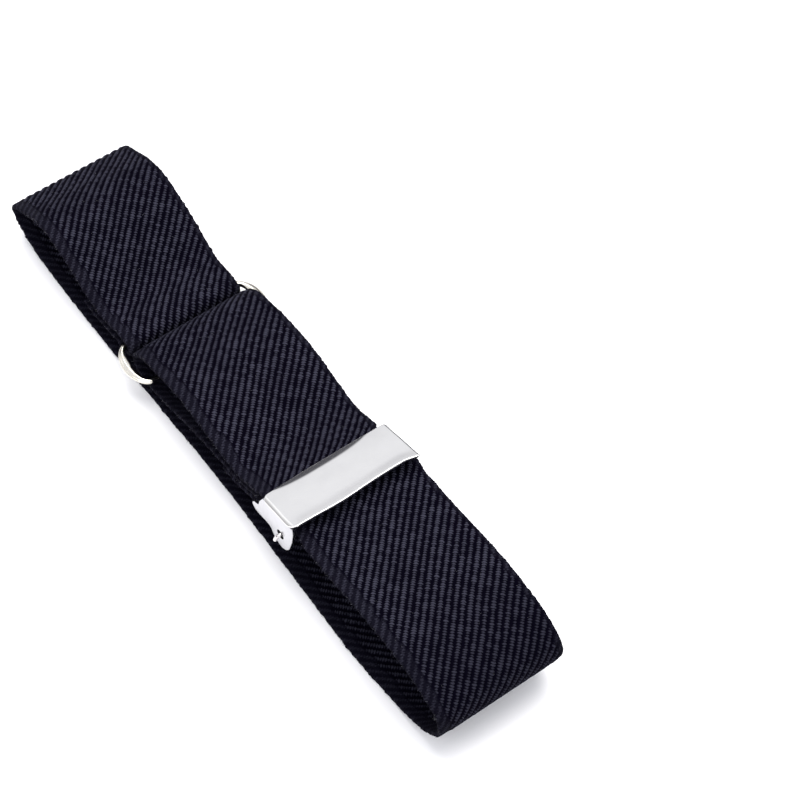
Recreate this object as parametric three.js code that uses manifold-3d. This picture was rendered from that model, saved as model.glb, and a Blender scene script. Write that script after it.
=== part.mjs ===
// Shirt sleeve holder: one elastic band folded into two flat loops, joined by a metal ring
// and a metal length adjuster. Millimetres, +Z up.
// +X runs along the folded band from the short loop's fold to the long loop's fold,
// +Y runs across the band, and the floor layer of the band rests on Z = 0.
import * as THREE from "three";
import { mergeVertices } from "three/addons/utils/BufferGeometryUtils.js";
import Module from "manifold-3d";

const wasm = await Module();
wasm.setup();

// Band sizes
const middle_of_length = 68.27; // from the short loop's fold to the middle of the folded length
const band_thickness = 1.4;
const band_half_width = 12.5;
const pinched_half_width = 11.75; // between the adjuster's ears
const edge_round = 0.3; // chamfer along the band's four long corners
const layer_gap = 0.3; // clearance between the band and whatever it touches
const half_thickness = band_thickness / 2;
const floor_height = half_thickness; // height of the floor layer's middle plane

// Ring sizes
const ring_middle = 43.95; // along the band
const ring_height = 6.4;
const ring_half_chord = 4.57; // from the middle to the middle of each straight bar
const ring_bar_end = 11.85; // where the straight bars end and the round ends begin
const ring_end_bulge = 2.2; // how far the round ends stand past the straight bars
const ring_bar_half_width = 0.5;
const ring_end_half_width = 0.95; // the round ends are broader than the bars
const ring_half_height = 0.55;
const ring_lip_depth = 0.12; // groove between the ring's outer lip and its domed face

// Adjuster sizes
// the adjuster has a frame of its own: u along its plate, v across (= Y), w out of its face
const adjuster_middle = 91.8; // along the band, at the plate's middle
const adjuster_height = 19.4; // of the plate's face above the floor
const adjuster_shift = -0.3; // across the band
const adjuster_tilt = THREE.MathUtils.degToRad(10.9); // the long loop's side stands higher
const cover_offset = -0.7; // of the cover's middle, along the band
const cover_half_length = 13.0; // across the band
const cover_half_depth = 4.6; // along the band
const cover_thickness = 0.8;
const cover_corner = 0.9;
const cover_crown = 0.3; // rise of the face's middle over its edges
const cover_rim_radius = 0.33; // rolled rim on the long loop's side
const web_top = -1.1; // inner plate under the cover
const web_thickness = 0.85;
const web_front = 3.0; // edge on the long loop's side, hidden under the cover
const web_back = -3.9;
const ear_outer_face = 12.8; // across the band, at the seam
const ear_thickness = 0.75;
const ear_flare = THREE.MathUtils.degToRad(2);
const rear_bar = { u: -8.4, w: -6.5, radius: 0.5 };
const hinge = { u: -1.2, w: -6.3 };
const ear_hole_radius = 0.98;
const wire_radius = 0.4;
const wire_end = { v: 13.9, u: -2.0, w: -7.9 }; // where the bent wire ends stop
const lever_half_width = 9.5;
const lever_barrel_radius = 1.25;
const lever_bore_radius = 0.75;
const lever_jaw_height = 2.4; // of the teeth above the hinge line
const lever_tab_reach = 9.6; // from the hinge line to the thumb edge
const lever_tab_thickness = 0.85;
const tooth_pitch = 1.9;
const tooth_depth = 0.7;

// Tables
// each row is one section of the band's middle line:
// along the band, height, half width, sideways shift
const short_loop_top = [
  [36.4, 7.9, 11.95, 0],
  [33.6, 7.3, 12.1, 0],
  [30.6, 7.85, 12.3, 0],
  [26.6, 9.75, 12.5, 0],
  [21.6, 12.15, 12.5, 0],
  [17.8, 13.65, 12.5, 0],
  [14.2, 14.2, 12.5, 0],
  [10.4, 13.4, 12.5, 0],
  [6.4, 11.4, 12.5, 0],
];
const short_loop_fold = [
  [3.0, 9.6, 12.5, 0],
  [1.15, 8.2, 12.5, 0],
  [0.72, 6.7, 12.5, 0],
  [1.6, 5.0, 12.5, 0],
  [3.8, 3.2, 12.5, 0],
  [7.2, 1.55, 12.5, 0],
];
const floor_layer = [
  [11.2, floor_height + 0.1, 12.5, 0],
  [16.0, floor_height, 12.5, -0.1],
  [34.0, floor_height, 12.5, -0.15],
  [50.0, floor_height, 12.5, 0.25],
  [71.0, floor_height, 12.5, 0.5],
  [95.0, floor_height, 12.5, -0.05],
  [113.0, floor_height, 12.5, -0.4],
];
const long_loop_fold = [
  [119.6, floor_height + 0.08, 12.5, -0.1],
  [124.8, 1.45, 12.5, 0],
  [129.2, 2.95, 12.5, 0],
  [132.9, 5.45, 12.5, 0],
  [135.2, 8.3, 12.5, 0],
  [135.8, 11.0, 12.5, 0],
  [134.8, 13.6, 12.5, 0],
  [132.3, 15.4, 12.5, 0],
];
const long_loop_top = [
  [128.2, 16.7, 12.5, 0.05],
  [123.6, 17.4, 12.5, 0.1],
  [118.4, 17.6, 12.5, 0.1],
  [112.0, 17.15, 12.5, 0.1],
  [105.6, 16.6, 12.5, 0.05],
  [101.0, 16.5, 12.5, 0],
];
const between_ring_and_adjuster = [
  [79.5, 12.55, 12.2, 0],
  [76.6, 12.0, 12.3, 0],
  [72.6, 12.5, 12.4, 0],
  [67.6, 13.5, 12.5, 0],
  [61.6, 14.2, 12.5, 0],
  [56.0, 13.95, 12.5, 0],
  [51.4, 12.95, 12.5, 0],
];
const loose_loop_on_ring = [
  [47.4, 11.95, 12.5, 0],
  [44.8, 10.1, 12.4, 0],
  [43.2, 7.9, 12.35, 0],
  [43.1, 5.9, 12.3, 0],
  [44.2, 4.55, 12.3, 0],
  [46.6, 3.9, 12.3, 0],
];
const return_layer = [
  [51.4, 4.7, 12.3, 0],
  [58.0, 6.7, 12.4, 0],
  [65.6, 8.7, 12.4, 0],
  [72.0, 9.75, 12.3, -0.1],
  [76.6, 10.2, 12.0, -0.3],
  [79.5, 10.7, 11.7, -0.4],
  [82.1, 11.65, 11.5, -0.5],
];
const sewn_end = [
  [82.3, 9.85, 11.5, -0.5],
  [79.7, 8.95, 11.7, -0.4],
  [76.6, 8.45, 12.0, -0.3],
  [72.4, 8.0, 12.2, -0.2],
];
const tail = [
  [25.8, 5.75, 12.4, 0],
  [29.4, 5.4, 12.4, 0],
  [33.4, 5.15, 12.1, 0],
  [36.4, 4.85, 11.95, 0],
];
// the run through the adjuster: u on the adjuster, drop below the inner plate,
// half width, sideways shift
const run_under_web = [
  [5.3, 1.1, 12.4, 0],
  [3.3, 0.72, pinched_half_width, adjuster_shift],
  [-0.6, 0.09, pinched_half_width, adjuster_shift],
  [-3.6, 0.05, pinched_half_width, adjuster_shift],
  [-7.3, 0.38, pinched_half_width, adjuster_shift],
  [-8.9, 0.65, 12.1, 0],
];

// Helpers
function material(color, roughness, metalness) {
  return new THREE.MeshStandardMaterial({ color, roughness, metalness });
}

// joins rings of equal point counts into one closed skin; open chains get end caps
function loft(rings, closed) {
  const count = rings[0].length;
  const vertices = [];
  const faces = [];
  for (const ring of rings) {
    for (const p of ring) {
      vertices.push(p.x, p.y, p.z);
    }
  }
  const spans = closed ? rings.length : rings.length - 1;
  for (let i = 0; i < spans; i++) {
    const here = i * count;
    const next = ((i + 1) % rings.length) * count;
    for (let k = 0; k < count; k++) {
      const m = (k + 1) % count;
      faces.push(here + k, here + m, next + m);
      faces.push(here + k, next + m, next + k);
    }
  }
  if (!closed) {
    for (const [ring, flip] of [[0, true], [rings.length - 1, false]]) {
      const base = ring * count;
      for (let k = 1; k < count - 1; k++) {
        faces.push(...(flip ? [base, base + k + 1, base + k] : [base, base + k, base + k + 1]));
      }
    }
  }
  const geometry = new THREE.BufferGeometry();
  geometry.setAttribute("position", new THREE.Float32BufferAttribute(vertices, 3));
  geometry.setIndex(faces);
  if (signed_volume(geometry) < 0) {
    geometry.setIndex(faces.reverse());
  }
  geometry.computeVertexNormals();
  return geometry;
}

function signed_volume(geometry) {
  const position = geometry.getAttribute("position");
  const index = geometry.getIndex().array;
  const a = new THREE.Vector3();
  const b = new THREE.Vector3();
  const c = new THREE.Vector3();
  let total = 0;
  for (let i = 0; i < index.length; i += 3) {
    a.fromBufferAttribute(position, index[i]);
    b.fromBufferAttribute(position, index[i + 1]);
    c.fromBufferAttribute(position, index[i + 2]);
    total += a.dot(b.cross(c)) / 6;
  }
  return total;
}

function to_solid(geometry) {
  const plain = geometry.clone();
  plain.deleteAttribute("normal");
  plain.deleteAttribute("uv");
  const merged = mergeVertices(plain, 1e-5);
  return new wasm.Manifold(new wasm.Mesh({
    numProp: 3,
    vertProperties: new Float32Array(merged.getAttribute("position").array),
    triVerts: new Uint32Array(merged.getIndex().array),
  }));
}

function to_geometry(solid) {
  const mesh = solid.getMesh();
  const geometry = new THREE.BufferGeometry();
  geometry.setAttribute("position", new THREE.Float32BufferAttribute(mesh.vertProperties, 3));
  geometry.setIndex(Array.from(mesh.triVerts));
  geometry.computeVertexNormals();
  return geometry;
}

// an outline in (u, w), extruded across the band from v = from to v = to
function across_band(shape, from, to, curve_segments) {
  const geometry = new THREE.ExtrudeGeometry(shape, {
    depth: to - from,
    bevelEnabled: false,
    curveSegments: curve_segments,
  });
  geometry.rotateX(Math.PI / 2);
  geometry.translate(0, to, 0);
  return geometry;
}

// Band
// points round a bar, turning from one direction to another
function round_bar(bar, reach_along, reach_height, turn, half_width, shift) {
  const [along, height] = bar;
  const [from_degrees, to_degrees, steps] = turn;
  const rows = [];
  for (let i = 0; i <= steps; i++) {
    const angle = THREE.MathUtils.degToRad(from_degrees + ((to_degrees - from_degrees) * i) / steps);
    const out_along = reach_along * Math.cos(angle);
    const out_height = reach_height * Math.sin(angle);
    rows.push([along + out_along, height + out_height, half_width, shift]);
  }
  return rows;
}

// a place on the adjuster, turned into the band's own coordinates
function on_adjuster(u, w) {
  const c = Math.cos(adjuster_tilt);
  const s = Math.sin(adjuster_tilt);
  return [adjuster_middle + u * c - w * s, adjuster_height + u * s + w * c];
}

function band_rows() {
  const rows = [...tail];
  const reach = ring_bar_half_width + layer_gap + half_thickness;
  const rise = ring_half_height + layer_gap + half_thickness;
  const ring_bar = [ring_middle - ring_half_chord, ring_height];
  rows.push(...round_bar(ring_bar, reach, rise, [-90, 90, 6], 11.95, 0));
  rows.push(...short_loop_top, ...short_loop_fold, ...floor_layer);
  rows.push(...long_loop_fold, ...long_loop_top);
  // through the adjuster, just under its inner plate
  const under_web = web_top - web_thickness - layer_gap - half_thickness;
  for (const [u, drop, half_width, shift] of run_under_web) {
    rows.push([...on_adjuster(u, under_web - drop), half_width, shift]);
  }
  rows.push(...between_ring_and_adjuster, ...loose_loop_on_ring, ...return_layer);
  const round = rear_bar.radius + layer_gap + half_thickness;
  const bar = on_adjuster(rear_bar.u, rear_bar.w);
  rows.push(...round_bar(bar, round, round, [100, -100, 7], pinched_half_width, adjuster_shift));
  rows.push(...sewn_end);
  return rows;
}

// the middle line, sampled closely, then thinned to where it turns or runs on
function band_stations() {
  const rows = band_rows();
  const line = new THREE.CatmullRomCurve3(
    rows.map(([along, height, , shift]) => new THREE.Vector3(along, shift, height)),
    false,
    "centripetal",
  );
  const fine = 24 * (rows.length - 1);
  const longest_step = 4.5;
  const largest_turn = THREE.MathUtils.degToRad(13);
  const stations = [];
  let kept = null;
  for (let i = 0; i <= fine; i++) {
    const t = i / fine;
    const place = line.getPoint(t);
    place.z = Math.max(place.z, floor_height);
    const tangent = line.getTangent(t);
    tangent.y = 0;
    tangent.normalize();
    const row = Math.min(Math.floor(t * (rows.length - 1)), rows.length - 2);
    const part = t * (rows.length - 1) - row;
    const half_width = rows[row][2] + (rows[row + 1][2] - rows[row][2]) * part;
    const turned = kept ? Math.acos(Math.min(1, kept.tangent.dot(tangent))) : Infinity;
    const far = kept ? kept.place.distanceTo(place) : Infinity;
    if (turned > largest_turn || far > longest_step || i === fine) {
      kept = { place, tangent, half_width };
      stations.push(kept);
    }
  }
  return stations;
}

function band_geometry() {
  const rings = band_stations().map(({ place, tangent, half_width }) => {
    const normal = new THREE.Vector3(-tangent.z, 0, tangent.x);
    const corners = [
      [half_width - edge_round, half_thickness],
      [half_width, half_thickness - edge_round],
      [half_width, edge_round - half_thickness],
      [half_width - edge_round, -half_thickness],
      [edge_round - half_width, -half_thickness],
      [-half_width, edge_round - half_thickness],
      [-half_width, half_thickness - edge_round],
      [edge_round - half_width, half_thickness],
    ];
    return corners.map(([across, out]) => {
      const p = place.clone().addScaledVector(normal, out);
      p.y += across;
      return p;
    });
  });
  return loft(rings, false);
}

// Ring
// oval outline of straight bars and rounded ends, with its outward direction
function ring_outline() {
  const steps_round = 22;
  const places = [];
  for (const side of [1, -1]) {
    for (let i = 0; i <= steps_round; i++) {
      const angle = (Math.PI * i) / steps_round;
      const along = side * ring_half_chord * Math.cos(angle);
      const across = side * (ring_bar_end + ring_end_bulge * Math.sin(angle));
      const out = new THREE.Vector3(
        (side * Math.cos(angle)) / ring_half_chord,
        (side * Math.sin(angle)) / ring_end_bulge,
        0,
      ).normalize();
      const broad = Math.pow(Math.sin(angle), 1.8);
      const extra = (ring_end_half_width - ring_bar_half_width) * broad;
      const half_width = ring_bar_half_width + extra;
      places.push({ place: new THREE.Vector3(along, across, 0), out, half_width });
    }
  }
  return places;
}

function ring_geometry() {
  const sides = 14;
  const rings = ring_outline().map(({ place, out, half_width }) => {
    const ring = [];
    for (let k = 0; k < sides; k++) {
      const angle = (2 * Math.PI * k) / sides;
      const across = Math.cos(angle);
      const up = Math.sin(angle);
      // a shallow groove between the outer lip and the domed face
      const lip = k === 2 || k === sides - 2 ? ring_lip_depth : 0;
      const p = place.clone().addScaledVector(out, half_width * across);
      p.z = (ring_half_height - lip) * Math.sign(up) * Math.pow(Math.abs(up), 0.8);
      ring.push(p);
    }
    return ring;
  });
  return loft(rings, true);
}

// Adjuster
function rounded_outline(half_u, half_v, corner, inset, steps) {
  const points = [];
  const radius = Math.max(corner - inset, 0.05);
  const centre_u = half_u - inset - radius;
  const centre_v = half_v - inset - radius;
  for (const [su, sv, start] of [[1, 1, 0], [-1, 1, 90], [-1, -1, 180], [1, -1, 270]]) {
    for (let i = 0; i <= steps; i++) {
      const angle = THREE.MathUtils.degToRad(start + (90 * i) / steps);
      points.push(new THREE.Vector3(
        su * centre_u + radius * Math.cos(angle),
        sv * centre_v + radius * Math.sin(angle),
        0,
      ));
    }
  }
  return points;
}

// the face bulges gently both ways
function crown(p) {
  const u = p.x / cover_half_depth;
  const v = p.y / cover_half_length;
  return -cover_crown * (0.75 * u * u + 0.25 * v * v);
}

function cover_geometry() {
  // each row: inset from the outline, height against the face
  const layers = [
    [0.5, -cover_thickness],
    [0.0, -cover_thickness + 0.15],
    [0.0, -0.5],
    [0.18, -0.2],
    [0.5, -0.05],
    [1.4, 0],
    [2.8, 0],
    [4.2, 0],
  ];
  const rings = layers.map(([inset, height]) => {
    const ring = rounded_outline(cover_half_depth, cover_half_length, cover_corner, inset, 4);
    for (const p of ring) {
      p.z = height + crown(p);
    }
    return ring;
  });
  const shell = to_solid(loft(rings, false));
  // a rolled rim along the long loop's side
  const bead = new THREE.Shape();
  const bead_centre = cover_half_depth - cover_rim_radius;
  bead.absarc(bead_centre, -0.47, cover_rim_radius, 0, 2 * Math.PI, false);
  const bead_half_length = cover_half_length - 0.8 * cover_corner;
  const rim = to_solid(across_band(bead, -bead_half_length, bead_half_length, 5));
  return to_geometry(shell.add(rim));
}

// the ear's side view: a finger towards the ring, and a lobe with the hinge hole
function ear_shape() {
  const ear = new THREE.Shape();
  ear.moveTo(-3.9, web_top);
  ear.lineTo(-5.6, web_top - 0.05);
  ear.lineTo(-7.1, -3.0);
  ear.quadraticCurveTo(-7.6, -4.5, -8.2, -4.75);
  ear.lineTo(-9.3, -5.05);
  ear.quadraticCurveTo(-10.3, -5.7, -9.6, -6.5);
  ear.quadraticCurveTo(-9.2, -7.1, -8.4, -7.1);
  ear.lineTo(-5.2, -7.05);
  ear.quadraticCurveTo(-4.3, -7.2, -4.0, -8.3);
  ear.quadraticCurveTo(-3.1, -9.9, -1.5, -9.95);
  ear.quadraticCurveTo(0.1, -9.8, 1.2, -8.0);
  ear.lineTo(2.5, -5.2);
  ear.lineTo(3.3, -2.6);
  ear.lineTo(3.4, web_top);
  const hole = new THREE.Path();
  hole.absarc(hinge.u, hinge.w, ear_hole_radius, 0, 2 * Math.PI, true);
  ear.holes.push(hole);
  return ear;
}

function frame_geometry() {
  const web_width = 2 * (ear_outer_face - 0.2);
  const web = new THREE.BoxGeometry(web_front - web_back, web_width, web_thickness);
  web.translate((web_front + web_back) / 2, 0, web_top - web_thickness / 2);
  let solid = to_solid(web);
  for (const side of [1, -1]) {
    const ear = across_band(ear_shape(), -ear_thickness / 2, ear_thickness / 2, 6);
    // flare outward below the seam
    ear.translate(0, 0, -web_top);
    ear.rotateX(side * ear_flare);
    ear.translate(0, side * (ear_outer_face - ear_thickness / 2), web_top);
    solid = solid.add(to_solid(ear));
  }
  const bar_half_length = ear_outer_face - 0.2;
  const bar = new THREE.CylinderGeometry(rear_bar.radius, rear_bar.radius, 2 * bar_half_length, 12);
  bar.translate(rear_bar.u, 0, rear_bar.w);
  return to_geometry(solid.add(to_solid(bar)));
}

// the toothed lever's side view, about its own hinge line
function lever_shape() {
  const r = lever_barrel_radius;
  const t = lever_tab_thickness;
  const lever = new THREE.Shape();
  lever.moveTo(0.75, 1.0);
  lever.lineTo(0.55, lever_jaw_height - 0.25);
  lever.lineTo(0.35, lever_jaw_height);
  lever.lineTo(-0.15, lever_jaw_height);
  lever.lineTo(-0.95, 0.8);
  lever.absarc(0, 0, r, THREE.MathUtils.degToRad(140), THREE.MathUtils.degToRad(300), false);
  lever.lineTo(2.6, -1.55);
  lever.lineTo(lever_tab_reach - 1.4, -1.75);
  lever.lineTo(lever_tab_reach, -2.3);
  lever.lineTo(lever_tab_reach + 0.25, -1.75);
  lever.lineTo(lever_tab_reach - 1.2, -1.75 + t);
  lever.lineTo(2.6, -1.55 + t);
  lever.absarc(0, 0, r, THREE.MathUtils.degToRad(-18), THREE.MathUtils.degToRad(45), false);
  const bore = new THREE.Path();
  bore.absarc(0, 0, lever_bore_radius, 0, 2 * Math.PI, true);
  lever.holes.push(bore);
  return lever;
}

function lever_geometry() {
  let solid = to_solid(across_band(lever_shape(), -lever_half_width, lever_half_width, 8));
  const teeth = Math.floor((2 * lever_half_width) / tooth_pitch);
  for (let i = 1; i < teeth; i++) {
    const v = -lever_half_width + i * tooth_pitch;
    const notch = new THREE.Shape();
    notch.moveTo(-tooth_pitch * 0.26, lever_jaw_height + 0.2);
    notch.lineTo(0, lever_jaw_height - tooth_depth);
    notch.lineTo(tooth_pitch * 0.26, lever_jaw_height + 0.2);
    const cut = new THREE.ExtrudeGeometry(notch, { depth: 3, bevelEnabled: false });
    cut.rotateX(Math.PI / 2);
    cut.rotateZ(Math.PI / 2);
    cut.translate(-1.5, v, 0);
    solid = solid.subtract(to_solid(cut));
  }
  return to_geometry(solid);
}

// hinge wire: straight through both ears, its ends bent down over them
function wire_geometry() {
  const knee = ear_outer_face + 0.6;
  const half = [
    new THREE.Vector3(0, 4, 0),
    new THREE.Vector3(0, 12.0, 0),
    new THREE.Vector3(0, knee - 0.35, 0),
    new THREE.Vector3((wire_end.u - hinge.u) * 0.25, knee + 0.15, (wire_end.w - hinge.w) * 0.18),
    new THREE.Vector3((wire_end.u - hinge.u) * 0.6, wire_end.v - 0.2, (wire_end.w - hinge.w) * 0.55),
    new THREE.Vector3(wire_end.u - hinge.u, wire_end.v, wire_end.w - hinge.w),
  ];
  const other = half.map((p) => new THREE.Vector3(p.x, -p.y, p.z)).reverse();
  const line = new THREE.CatmullRomCurve3([...other, ...half], false, "centripetal");
  const section = new THREE.Shape();
  section.absarc(0, 0, wire_radius, 0, 2 * Math.PI, false);
  return new THREE.ExtrudeGeometry(section, { steps: 60, curveSegments: 5, extrudePath: line });
}

// Assembly
const elastic = material(0x23232b, 0.9, 0.0);
const nickel = material(0xd9d7d2, 0.18, 1.0);
const steel = material(0xc4c4c2, 0.3, 1.0);

function piece(name, geometry, look) {
  const mesh = new THREE.Mesh(geometry, look);
  mesh.name = name;
  return mesh;
}

const holder = new THREE.Group();

const band = piece("elastic_band", band_geometry(), elastic);
band.position.x = -middle_of_length;
holder.add(band);

const ring = piece("loop_ring", ring_geometry(), nickel);
ring.position.set(ring_middle - middle_of_length, 0, ring_height);
holder.add(ring);

const adjuster = new THREE.Group();
adjuster.position.set(adjuster_middle - middle_of_length, adjuster_shift, adjuster_height);
adjuster.rotation.y = -adjuster_tilt;
holder.add(adjuster);

const cover = piece("adjuster_cover", cover_geometry(), nickel);
cover.position.x = cover_offset;
adjuster.add(cover);
adjuster.add(piece("adjuster_frame", frame_geometry(), nickel));

const lever = piece("clamp_lever", lever_geometry(), steel);
lever.position.set(hinge.u, 0, hinge.w);
adjuster.add(lever);

const wire = piece("hinge_wire", wire_geometry(), steel);
wire.position.set(hinge.u, 0, hinge.w);
adjuster.add(wire);

export default holder;
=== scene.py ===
"""Shirt sleeve holder: a ribbed elastic band folded into two loops, with a cast ring and a clamp adjuster."""

import math
import random

import bmesh
import bpy
from bpy.props import FloatProperty, FloatVectorProperty, IntProperty, PointerProperty
from mathutils import Matrix, Vector, noise


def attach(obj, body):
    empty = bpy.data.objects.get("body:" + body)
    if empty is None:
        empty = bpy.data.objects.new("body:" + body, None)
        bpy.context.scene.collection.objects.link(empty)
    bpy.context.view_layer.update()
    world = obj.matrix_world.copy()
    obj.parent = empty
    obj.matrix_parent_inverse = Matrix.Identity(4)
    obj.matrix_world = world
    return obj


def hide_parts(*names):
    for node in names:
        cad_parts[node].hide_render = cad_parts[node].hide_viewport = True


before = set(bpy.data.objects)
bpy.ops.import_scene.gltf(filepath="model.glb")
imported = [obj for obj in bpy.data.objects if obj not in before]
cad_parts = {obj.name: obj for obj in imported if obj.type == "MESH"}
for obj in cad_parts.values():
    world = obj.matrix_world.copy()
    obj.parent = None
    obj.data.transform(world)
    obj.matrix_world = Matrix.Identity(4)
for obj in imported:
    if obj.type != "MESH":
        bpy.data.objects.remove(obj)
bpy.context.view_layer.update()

bl_info = {
    "name": "Shirt Sleeve Holder",
    "version": (1, 0, 0),
    "blender": (4, 5, 0),
    "location": "View3D > Sidebar > Holder",
    "description": "Builds a folded elastic sleeve holder with its ring and clamp adjuster",
    "category": "Object",
}

MM = 0.001  # the shapes are worked out in millimetres, and the settings are in metres
HOLDER_BODY = "holder"

# ------------------------------------------------------------------ sizes shared with the solids
MIDDLE_OF_LENGTH = 68.27  # where the part's origin lies along the band
BAND_THICKNESS = 1.4
BAND_HALF_WIDTH = 12.5
PINCHED_HALF_WIDTH = 11.75
LAYER_GAP = 0.3
HALF_THICKNESS = BAND_THICKNESS / 2
FLOOR_HEIGHT = HALF_THICKNESS

RING_MIDDLE = 43.95
RING_HEIGHT = 6.4
RING_HALF_CHORD = 4.57
RING_BAR_END = 11.85
RING_END_BULGE = 2.2
RING_BAR_HALF_WIDTH = 0.5
RING_END_HALF_WIDTH = 0.95
RING_HALF_HEIGHT = 0.55
RING_END_TAPER = 2.6

ADJUSTER_MIDDLE = 91.8
ADJUSTER_HEIGHT = 19.4
ADJUSTER_TILT = math.radians(10.9)
ADJUSTER_SHIFT = -0.3
COVER_OFFSET = -0.7
COVER_HALF_LENGTH = 13.0
COVER_HALF_DEPTH = 4.6
COVER_DEPTH_TO_RIM = 4.8  # on the +u side, which carries the rolled rim
COVER_THICKNESS = 0.8
# rounding of each corner, by its side along u and along v
COVER_CORNERS = {(-1, -1): 1.1, (1, -1): 2.1, (-1, 1): 0.5, (1, 1): 0.3}
COVER_CROWN = 0.3
# the cover's hand-bent form: places are v for bends along an edge, and distances from the edge for the rest
LIP_MIDDLE, LIP_HALF_SPAN, LIP_WIDTH, LIP_SLOPE = -1.2, 9.8, 1.05, 0.2
EDGE_BULGE = 0.35
RIM_BOW, RIM_BOW_MIDDLE, RIM_BOW_SPREAD = 0.4, -3.0, 5.5
RIM_FLARE, RIM_FLARE_START, RIM_RADIUS = 0.7, 8.5, 0.18
FAR_END_PULL, FAR_END_PULL_START = 0.7, 8.0
FAR_END_BEVEL, FAR_END_SLOPE = 0.32, 0.47
NEAR_END_ROUNDING, NEAR_END_CURVE = 1.25, 0.36
FLANK_RISE, FLANK_WIDTH = 0.15, 2.4
CREASE_DEPTH, CREASE_PLACE, CREASE_SPREAD = 0.022, 1.4, 0.5
RIM_THINNING = 0.42
WEB_TOP = -1.1
WEB_THICKNESS = 0.85
WEB_FRONT = 3.0
WEB_BACK = -3.9
EAR_OUTER_FACE = 12.8
EAR_THICKNESS = 0.75
EAR_FLARE = math.radians(2)
EAR_EDGE_RADIUS = 0.14
EAR_HOLE_RADIUS = 0.98
EAR_HOLE_STEPS = 28
REAR_BAR = (-8.4, -6.5, 0.5)  # u, w and radius
HINGE = (-1.2, -6.3)  # u and w
WIRE_RADIUS = 0.4
WIRE_END = (-2.0, 13.9, -7.9)  # u, v and w

# each row is one section of the band's middle line, in millimetres:
# along the band, height, half width, sideways shift
TAIL = [
    (25.8, 5.75, 12.4, 0), (29.4, 5.4, 12.4, 0), (33.4, 5.15, 12.1, 0), (36.4, 4.85, 11.95, 0),
]
SHORT_LOOP_TOP = [
    (36.4, 7.9, 11.95, 0), (33.6, 7.3, 12.1, 0), (30.6, 7.85, 12.3, 0), (26.6, 9.75, 12.5, 0),
    (21.6, 12.15, 12.5, 0), (17.8, 13.65, 12.5, 0), (14.2, 14.2, 12.5, 0), (10.4, 13.4, 12.5, 0),
    (6.4, 11.4, 12.5, 0),
]
SHORT_LOOP_FOLD = [
    (3.0, 9.6, 12.5, 0), (1.15, 8.2, 12.5, 0), (0.72, 6.7, 12.5, 0), (1.6, 5.0, 12.5, 0),
    (3.8, 3.2, 12.5, 0), (7.2, 1.55, 12.5, 0),
]
FLOOR_LAYER = [
    (11.2, FLOOR_HEIGHT + 0.1, 12.5, 0), (16.0, FLOOR_HEIGHT, 12.5, -0.1),
    (34.0, FLOOR_HEIGHT, 12.5, -0.15), (50.0, FLOOR_HEIGHT, 12.5, 0.25),
    (71.0, FLOOR_HEIGHT, 12.5, 0.5), (95.0, FLOOR_HEIGHT, 12.5, -0.05),
    (113.0, FLOOR_HEIGHT, 12.5, -0.4),
]
LONG_LOOP_FOLD = [
    (119.6, FLOOR_HEIGHT + 0.08, 12.5, -0.1), (124.8, 1.45, 12.5, 0), (129.2, 2.95, 12.5, 0),
    (132.9, 5.45, 12.5, 0), (135.2, 8.3, 12.5, 0), (135.8, 11.0, 12.5, 0),
    (134.8, 13.6, 12.5, 0), (132.3, 15.4, 12.5, 0),
]
LONG_LOOP_TOP = [
    (128.2, 16.7, 12.5, 0.05), (123.6, 17.4, 12.5, 0.1), (118.4, 17.6, 12.5, 0.1),
    (112.0, 17.15, 12.5, 0.1), (105.6, 16.6, 12.5, 0.05), (101.0, 16.5, 12.5, 0),
]
BETWEEN_RING_AND_ADJUSTER = [
    (79.5, 12.55, 12.2, 0), (76.6, 12.0, 12.3, 0), (72.6, 12.5, 12.4, 0), (67.6, 13.5, 12.5, 0),
    (61.6, 14.2, 12.5, 0), (56.0, 13.95, 12.5, 0), (51.4, 12.95, 12.5, 0),
]
LOOSE_LOOP_ON_RING = [
    (47.4, 11.95, 12.5, 0), (44.8, 10.1, 12.4, 0), (43.2, 7.9, 12.35, 0), (43.1, 5.9, 12.3, 0),
    (44.2, 4.55, 12.3, 0), (46.6, 3.9, 12.3, 0),
]
RETURN_LAYER = [
    (51.4, 4.7, 12.3, 0), (58.0, 6.7, 12.4, 0), (65.6, 8.7, 12.4, 0), (72.0, 9.75, 12.3, -0.1),
    (76.6, 10.2, 12.0, -0.3), (79.5, 10.7, 11.7, -0.4), (82.1, 11.65, 11.5, -0.5),
]
SEWN_END = [
    (82.3, 9.85, 11.5, -0.5), (79.7, 8.95, 11.7, -0.4), (76.6, 8.45, 12.0, -0.3),
    (72.4, 8.0, 12.2, -0.2),
]
LONG_FOLD = (135.8, 11.0)  # the row where the long loop turns back
# the run through the adjuster: u on the adjuster, drop below the inner plate, half width, shift
RUN_UNDER_WEB = [
    (5.3, 1.1, 12.5, 0), (4.2, 0.88, 12.5, 0.25), (3.5, 0.75, 12.4, 0.35), (2.2, 0.53, 12.4, 0.35),
    (1.3, 0.38, PINCHED_HALF_WIDTH, ADJUSTER_SHIFT),
    (-0.6, 0.09, PINCHED_HALF_WIDTH, ADJUSTER_SHIFT), (-3.6, 0.05, PINCHED_HALF_WIDTH, ADJUSTER_SHIFT),
    (-7.3, 0.38, PINCHED_HALF_WIDTH, ADJUSTER_SHIFT), (-8.9, 0.65, 12.1, 0),
]


# ------------------------------------------------------------------ small helpers
def linear(code):
    """An sRGB hex colour as linear RGBA."""
    parts = [int(code[i:i + 2], 16) / 255 for i in (1, 3, 5)]
    return tuple(c / 12.92 if c <= 0.04045 else ((c + 0.055) / 1.055) ** 2.4 for c in parts) + (1.0,)


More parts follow.
